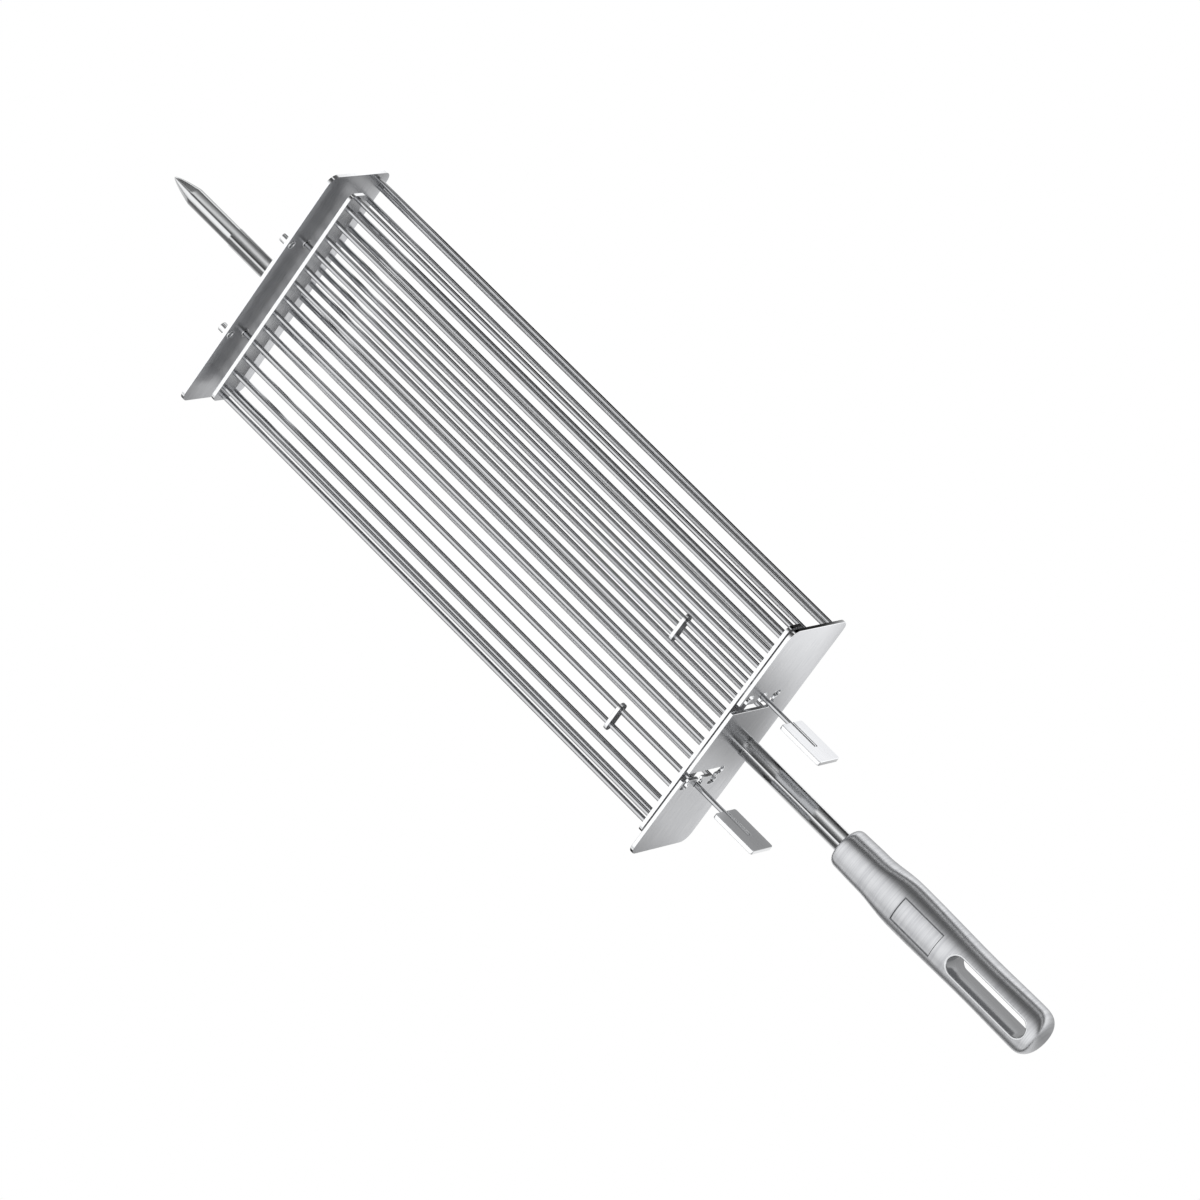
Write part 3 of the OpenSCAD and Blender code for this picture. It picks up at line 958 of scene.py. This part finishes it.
    def build_plug(self, bar: Spit) -> None:
        """Builds the front plug, from the hole for the bar out over its rounded edge.

        Args:
            bar: The bar that goes through it.
        """
        hole = bar.section(grow=1 + 2 * self.seat_gap / bar.side)
        angles = [math.atan2(y, z) for y, z in hole]
        front_r = self.half_width(0.0)
        fit = self.wall + self.seat_gap
        arc = 10
        profile = [(0.0, front_r - self.front_round)]
        for i in range(1, arc + 1):
            turn = math.pi / 2 * i / arc
            profile.append((self.front_round * (1 - math.cos(turn)),
                            front_r - self.front_round * (1 - math.sin(turn))))
        back = self.shoulder_l + self.spigot_l
        profile.append((self.shoulder_l, self.half_width(self.shoulder_l)))
        rings = [[self.point(x, self.reach(r, a), a) for a in angles] for x, r in profile]
        for x in (self.shoulder_l, back):
            rings.append([self.point(x, self.reach(profile[-1][1], a) - fit, a) for a in angles])
        rings.append(bar.ring(self.front_x + back * MM, self.axis_z, hole))
        rings.insert(0, bar.ring(self.front_x, self.axis_z, hole))
        plug = mesh_object("handle_nose", skin(rings, loop=True), [SATIN_TUBE])
        settle(plug, "basket", ["handle_front_plug"])

    def build_liner(self) -> None:
        """Builds the liner of the slot, whose lip rolls from the handle's outside into the slot."""
        inner = self.slot_outline(0.0)
        outer = self.slot_outline(self.liner_wall)
        lip, rows = 8, 8
        rings = []
        for side in (1, -1):
            for i in range(lip + 1):
                turn = math.pi / 2 * i / lip
                share, drop = math.cos(turn), self.liner_wall * (1 - math.sin(turn))
                ring = []
                for (xi, yi), (xo, yo) in zip(inner, outer):
                    x, y = xo + (xi - xo) * share, yo + (yi - yo) * share
                    angle = self.angle_at(x, y)
                    top = self.reach(self.half_width(x), angle) * math.cos(angle)
                    ring.append(Vector((self.front_x + x * MM, y * MM,
                                        self.axis_z + side * (top - drop) * MM)))
                rings.append(ring)
            if side == 1:
                rings.reverse()
        upper, lower = rings[:lip + 1], rings[lip + 1:]
        waist = self.slot_outline(-self.slot_waist)
        wall = []
        for i in range(1, rows):
            swell = math.sin(math.pi * i / rows)
            wall.append([
                a.lerp(b, i / rows) + swell * MM * Vector((xw - xi, yw - yi, 0.0))
                for a, b, (xi, yi), (xw, yw) in zip(upper[-1], lower[0], inner, waist)])
        bm = skin(upper + wall + lower, loop=True)
        steepest, sharp_deg = 0.25, 60.0
        for face in bm.faces:
            face.material_index = 0 if abs(face.normal.z) < steepest else 1
        liner = mesh_object("slot_lining", bm, [SLOT_STRIP, ROLLED_LIP], sharp_deg)
        settle(liner, "basket", ["hanging_slot_liner"])

    def build(self, bar: Spit) -> None:
        """Builds the handle round the bar.

        Args:
            bar: The bar that it is pressed onto.
        """
        self.build_shell()
        self.build_plug(bar)
        self.build_liner()
        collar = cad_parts["handle_collar"]
        collar.data.materials.clear()
        collar.data.materials.append(TURNED_BUSH.material())
        log.info("handle_collar keeps its CAD shape")


@dataclass
class GuideBushes:
    """The two columns of guide bushes that the tails of the lock rods run in.

    Attributes:
        levels: Bushes in each column.
        bore: Diameter of the bore, in mm.
        broken: Radius of the rounded edges, in mm.
        sides: Sides of each bush.
    """

    levels: int = 3
    bore: float = 3.4
    broken: float = 0.25
    sides: int = 40

    def tree(self) -> bpy.types.NodeTree:
        """Builds the tree that sets rings in a grid of points.

        Returns:
            The tree.
        """
        tree, given = new_tree("grid_of_bushes", {
            "Levels": "Int", "Width": "Float", "Height": "Float", "Middle": "Vector", "Radius": "Float",
            "Wall": "Float", "Reach": "Float", "Edge": "Float", "Sides": "Int", "Steel": "Material"})
        size = given.outputs
        circle = add_node(tree, "GeometryNodeCurvePrimitiveCircle", {
            "Resolution": size["Sides"], "Radius": size["Radius"]})
        strip = add_node(tree, "GeometryNodeCurvePrimitiveQuadrilateral", {
            "Width": size["Wall"], "Height": size["Reach"]})
        rounded = add_node(tree, "GeometryNodeFilletCurve", {
            "Curve": strip, "Count": 3, "Radius": size["Edge"]}, mode="POLY")
        ring = add_node(tree, "GeometryNodeCurveToMesh", {"Curve": circle, "Profile Curve": rounded})
        grid = add_node(tree, "GeometryNodeMeshGrid", {
            "Size X": size["Width"], "Size Y": size["Height"],
            "Vertices X": len(SIDES), "Vertices Y": size["Levels"]})
        quarter = math.pi / 2
        upright = add_node(tree, "GeometryNodeTransform", {
            "Geometry": grid, "Translation": size["Middle"], "Rotation": (quarter, 0.0, quarter)})
        rings = add_node(tree, "GeometryNodeInstanceOnPoints", {
            "Points": upright, "Instance": ring, "Rotation": (0.0, quarter, 0.0)})
        return close_tree(tree, rings, size["Steel"])

    def build(self) -> None:
        """Builds all bushes as one piece."""
        nodes = [f"guide_bush_{side}_{k}" for side in SIDES for k in range(1, self.levels + 1)]
        low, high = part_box(nodes[0])
        far_low, far_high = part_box(nodes[-1])
        outer = (high.z - low.z) / 2
        inner = self.bore * MM / 2
        piece = run_tree("guide_bushes", self.tree(), {
            "Levels": self.levels, "Width": low.y - far_low.y, "Height": low.z - far_low.z,
            "Middle": (low + far_high) / 2, "Radius": (outer + inner) / 2, "Wall": outer - inner,
            "Reach": high.x - low.x, "Edge": self.broken * MM, "Sides": self.sides,
            "Steel": TURNED_BUSH.material()})
        settle(piece, "basket", nodes)


@dataclass
class Basket:
    """The basket: two end plates, the floor and side rods, and the guide bushes.

    Attributes:
        floor_rods: Number of rods in the floor.
    """

    floor_rods: int = 15

    def build(self) -> None:
        """Builds the basket's pieces."""
        for end in ENDS:
            SheetPart(f"{end}_end_plate", "basket", Slot.END_PLATE, SANDED_PLATE).build()
        floor = [f"floor_rod_{i}" for i in range(1, self.floor_rods + 1)]
        RodRow("floor_row", "basket", floor, self.floor_rods).build()
        RodRow("basket_side_rods", "basket", [f"side_rod_{side}" for side in SIDES], len(SIDES)).build()
        GuideBushes().build()


@dataclass
class Lid:
    """The lid grate: its two plates, its rods, the still parts of the lock rods and the link plates.

    Attributes:
        rods: Places in the lid's row.
        lock_step: How many places each way from the middle hold a lock rod.
    """

    rods: int = 13
    lock_step: int = 3

    def build(self) -> None:
        """Builds the lid's pieces."""
        middle = (self.rods + 1) // 2
        plain = [i for i in range(1, self.rods + 1) if abs(i - middle) != self.lock_step]
        for end in ENDS:
            SheetPart(f"lid_{end}_plate", "lid", Slot.LID_PLATE, FINE_SANDED_PLATE).build()
        RodRow("lid_row", "lid", [f"lid_rod_{i}" for i in plain], self.rods, self.lock_step).build()
        RodRow("lid_side_rods", "lid", [f"lid_side_rod_{side}" for side in SIDES], len(SIDES)).build()
        RodRow("lock_rods_fixed", "lid", [f"lock_rod_fixed_{side}" for side in SIDES], len(SIDES),
               chamfer=LOCK_ROD_CHAMFER).build()
        for side in SIDES:
            SheetPart(f"lock_link_{side}", "lid", Slot.LID_PLATE, FINE_SANDED_PLATE).build()


@dataclass
class SpringLock:
    """One spring lock: the part of the lock rod that springs, and its squeeze tab.

    Attributes:
        side: Which side of the grate it is on, left or right.
        broken: How far the edges of the tab are broken, in mm.
    """

    side: str
    broken: float = 0.3

    def build(self) -> None:
        """Builds the rod and its tab."""
        body = f"lock_{self.side}"
        RodRow(f"lock_rod_{self.side}", body, [f"lock_rod_spring_{self.side}"], 1,
               chamfer=LOCK_ROD_CHAMFER).build()
        SheetPart(f"lock_tab_{self.side}", body, Slot.TAB, POLISHED_TAB, Axis.Y, self.broken).build()


@dataclass
class Studio:
    """A white studio: a pale floor, soft light from long softboxes, and the camera.

    Attributes:
        light: Brightness of the studio round the grate's length, at angles in degrees from straight
            up towards the left.
        open_floor: Brightness of the floor as the steel mirrors it, at distances to the left in mm.
        shaded_floor: The same, where the basket shades the floor.
        shade_edge: Width over which that shade fades at both ends, in mm.
        plate_shade: Share of the light that is left on the floor close in front of the far plate.
        plate_shade_at: Middle of that shade: how far in front of the far plate and how far to the
            left, in mm.
        plate_shade_along: Distances from the middle along the grate at which it starts to fade and
            is gone, in mm.
        plate_shade_across: The same across the grate.
        rod_shade: Share of the light that is left on the floor beyond that shade, under the rods.
        rod_shade_along: Distances from the middle of the plate's shade between which the shade
            under the rods would rise from nothing to its whole, in mm.
        rod_shade_start: Share of that rise which is left out, so that the shade starts later.
        top_light: Brightness above every one of those.
        floor_w: Width of the floor, in mm.
        floor_drop: How far the floor lies below the grate, in mm.
        camera_at: Place of the camera, in mm.
        aim_at: Where it looks, in mm.
        spit_lean_deg: Angle in the picture from upright to the point of the spit, to the left.
        lens: Focal length on a sensor of 36 mm, in mm.
        sight: How far the camera sees, in metres.
    """

    light: tuple[tuple[float, float], ...] = (
        (-92, 0.1), (-84, 0.3), (-76, 1.3), (-68, 1.15), (-60, 0.75), (-52, 0.95), (-44, 1.25),
        (-28, 1.35), (-12, 1.48), (4, 1.37), (12, 1.3), (20, 1.08), (28, 0.75), (35, 0.36), (44, 0.16),
        (58, 0.07), (67, 0.1), (73, 0.35), (77, 1.45), (80, 1.25), (84, 0.3), (92, 0.1))
    open_floor: tuple[tuple[float, float], ...] = (
        (-400, 0.2), (-130, 0.1), (-75, 1.0), (-40, 1.0), (-12, 0.42), (12, 0.6), (40, 1.35),
        (75, 1.7), (130, 0.15), (400, 0.1))
    shaded_floor: tuple[tuple[float, float], ...] = (
        (-400, 0.35), (-130, 0.25), (-75, 1.15), (-40, 1.35), (-12, 1.2), (12, 1.45), (40, 1.05),
        (75, 0.4), (130, 0.0), (400, 0.0))
    shade_edge: float = 24.0
    plate_shade: float = 0.05
    plate_shade_at: tuple[float, float] = (21.0, -15.0)
    plate_shade_along: tuple[float, float] = (2.1, 10.5)
    plate_shade_across: tuple[float, float] = (52.08, 71.92)
    rod_shade: float = 0.08
    rod_shade_along: tuple[float, float] = (2.1, 21.0)
    rod_shade_start: float = 0.5
    top_light: float = 4.0
    floor_w: float = 60000.0
    floor_drop: float = 0.3
    camera_at: tuple[float, float, float] = (1223.5, 1528.4, 3225.4)
    aim_at: tuple[float, float, float] = (-0.9, -3.5, 21.0)
    spit_lean_deg: float = 45.1
    lens: float = 225.0
    sight: float = 100.0

    def build_world(self) -> None:
        """Builds the light: brightness by direction, and plain white for the background."""
        world = bpy.data.worlds.new("studio")
        bpy.context.scene.world = world
        world.use_nodes = True
        tree = world.node_tree
        tree.nodes.clear()
        towards = add_node(tree, "ShaderNodeTexCoord").outputs["Generated"]
        parts = add_node(tree, "ShaderNodeSeparateXYZ", {"Vector": towards})
        angle = add_node(tree, "ShaderNodeMath", {
            0: parts.outputs["Y"], 1: parts.outputs["Z"]}, operation="ARCTAN2")
        round_share = add_node(tree, "ShaderNodeMapRange", {
            "Value": angle, "From Min": -math.pi, "From Max": math.pi})
        bands = add_node(tree, "ShaderNodeValToRGB", {"Fac": round_share})
        self.set_stops(bands, self.light, math.degrees(math.pi))
        scaled = add_node(tree, "ShaderNodeMath", {0: bands, 1: self.top_light}, operation="MULTIPLY")
        studio = add_node(tree, "ShaderNodeBackground", {"Color": WHITE, "Strength": scaled})
        white = add_node(tree, "ShaderNodeBackground", {"Color": WHITE})
        seen = add_node(tree, "ShaderNodeLightPath").outputs["Is Camera Ray"]
        mixed = add_node(tree, "ShaderNodeMixShader", {0: seen, 1: studio, 2: white})
        add_node(tree, "ShaderNodeOutputWorld", {"Surface": mixed})

    def set_stops(self, bands: bpy.types.Node, table: tuple[tuple[float, float], ...],
                  reach: float) -> None:
        """Gives a ramp its stops, with brightness as a share of top_light.

        Args:
            bands: The ramp.
            table: Places and the brightness there.
            reach: The places run from minus this to plus this.
        """
        stops = bands.color_ramp.elements
        for i, (place, light) in enumerate(table):
            stop = stops[i] if i < 2 else stops.new(1.0)
            stop.position = (place + reach) / (2 * reach)
            level = light / self.top_light
            stop.color = (level, level, level, 1.0)

    def add_strength(self, tree: bpy.types.NodeTree, parts: bpy.types.Node, far: float,
                     before_near: bpy.types.Node) -> bpy.types.Node:
        """Adds the nodes that dim the floor in front of the far plate and under the rods.

        Args:
            tree: The tree of the floor's material.
            parts: The node that gives X, Y and Z of a place on the floor.
            far: Where the far plate stands, in metres.
            before_near: The node that is one before the near plate and nought beyond it.

        Returns:
            The node that gives the strength of the light.
        """
        along, across = (
            add_node(tree, "ShaderNodeMath", {0: parts.outputs[axis], 1: middle}, operation="SUBTRACT")
            for axis, middle in (("X", far + self.plate_shade_at[0] * MM),
                                 ("Y", self.plate_shade_at[1] * MM)))
        levels = []
        for offset, fades, lowest in ((along, self.plate_shade_along, self.plate_shade),
                                      (across, self.plate_shade_across, 0.0)):
            distance = add_node(tree, "ShaderNodeMath", {0: offset}, operation="ABSOLUTE")
            levels.append(add_node(tree, "ShaderNodeMapRange", {
                "Value": distance, "From Min": fades[0] * MM, "From Max": fades[1] * MM,
                "To Min": lowest * self.top_light, "To Max": self.top_light},
                interpolation_type="SMOOTHSTEP"))
        strength = add_node(tree, "ShaderNodeMath", {0: levels[0], 1: levels[1]}, operation="MAXIMUM")
        past_plate = add_node(tree, "ShaderNodeMapRange", {
            "Value": along, "From Min": self.rod_shade_along[0] * MM,
            "From Max": self.rod_shade_along[1] * MM}, interpolation_type="SMOOTHSTEP")
        under_rods = add_node(tree, "ShaderNodeMath", {
            0: past_plate, 1: before_near}, operation="MULTIPLY")
        rod_light = add_node(tree, "ShaderNodeMapRange", {
            "Value": under_rods, "From Min": self.rod_shade_start, "To Min": 1.0,
            "To Max": self.rod_shade})
        return add_node(tree, "ShaderNodeMath", {0: strength, 1: rod_light}, operation="MULTIPLY")

    def paper(self) -> bpy.types.Material:
        """Makes the floor's material: plain white to the camera, and shaded where steel mirrors it.

        Returns:
            The material.
        """
        paper = bpy.data.materials.new("white_paper_sweep")
        paper.use_nodes = True
        tree = paper.node_tree
        tree.nodes.clear()
        place = add_node(tree, "ShaderNodeTexCoord").outputs["Object"]
        parts = add_node(tree, "ShaderNodeSeparateXYZ", {"Vector": place})
        reach = self.open_floor[-1][0]
        share = add_node(tree, "ShaderNodeMapRange", {
            "Value": parts.outputs["Y"], "From Min": -reach * MM, "From Max": reach * MM})
        bare, shaded = (add_node(tree, "ShaderNodeValToRGB", {"Fac": share}) for _ in range(2))
        self.set_stops(bare, self.open_floor, reach)
        self.set_stops(shaded, self.shaded_floor, reach)
        far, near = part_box("far_end_plate")[0].x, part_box("near_end_plate")[1].x
        fade = self.shade_edge * MM / 2
        past_far, before_near = (
            add_node(tree, "ShaderNodeMapRange", {
                "Value": parts.outputs["X"], "From Min": start, "From Max": end},
                interpolation_type="SMOOTHSTEP")
            for start, end in ((far - fade, far + fade), (near + fade, near - fade)))
        under = add_node(tree, "ShaderNodeMath", {0: past_far, 1: before_near}, operation="MULTIPLY")
        light = add_node(tree, "ShaderNodeMix", {"Factor": under, "A": bare, "B": shaded},
                         data_type="RGBA")
        mirrored = add_node(tree, "ShaderNodeEmission", {
            "Color": light.outputs["Result"],
            "Strength": self.add_strength(tree, parts, far, before_near)})
        plain = add_node(tree, "ShaderNodeEmission", {"Color": WHITE})
        seen = add_node(tree, "ShaderNodeLightPath").outputs["Is Camera Ray"]
        mixed = add_node(tree, "ShaderNodeMixShader", {0: seen, 1: mirrored, 2: plain})
        add_node(tree, "ShaderNodeOutputMaterial", {"Surface": mixed})
        return paper

    def build_floor(self) -> None:
        """Builds the pale floor, which casts no shadow and lights nothing but what mirrors it."""
        half = self.floor_w / 2 * MM
        bm = bmesh.new()
        corners = [bm.verts.new((x, y, CAD_BOX[0].z - self.floor_drop * MM))
                   for x, y in ((-half, -half), (half, -half), (half, half), (-half, half))]
        bm.faces.new(corners)
        floor = mesh_object("studio_floor", bm, [], None)
        floor.data.materials.append(self.paper())
        floor.visible_diffuse = floor.visible_shadow = False

    def build_camera(self) -> None:
        """Builds the camera at the photograph's viewing angle."""
        data = bpy.data.cameras.new("camera")
        data.lens = self.lens
        data.clip_end = self.sight
        camera = bpy.data.objects.new("camera", data)
        bpy.context.scene.collection.objects.link(camera)
        place, aim = Vector(self.camera_at) * MM, Vector(self.aim_at) * MM
        back = (place - aim).normalized()
        towards_point = Vector((-1.0, 0.0, 0.0))
        towards_point = (towards_point - back * towards_point.dot(back)).normalized()
        lean = math.radians(self.spit_lean_deg)
        up = towards_point * math.cos(lean) - back.cross(towards_point) * math.sin(lean)
        right = up.cross(back)
        turn = Matrix((right, up, back)).transposed()
        camera.matrix_world = Matrix.Translation(place) @ turn.to_4x4()
        bpy.context.scene.camera = camera

    def build(self) -> None:
        """Builds the light, the floor and the camera."""
        self.build_world()
        self.build_floor()
        self.build_camera()
        bpy.context.scene.view_settings.view_transform = "Standard"


def main() -> None:
    """Builds the grate, piece by piece, and the studio round it."""
    logging.basicConfig(level=logging.INFO, format="%(name)s: %(message)s")
    spit = Spit()
    Basket().build()
    spit.build()
    Handle().build(spit)
    Lid().build()
    for side in SIDES:
        SpringLock(side).build()
    Studio().build()


if __name__ == "__main__":
    main()
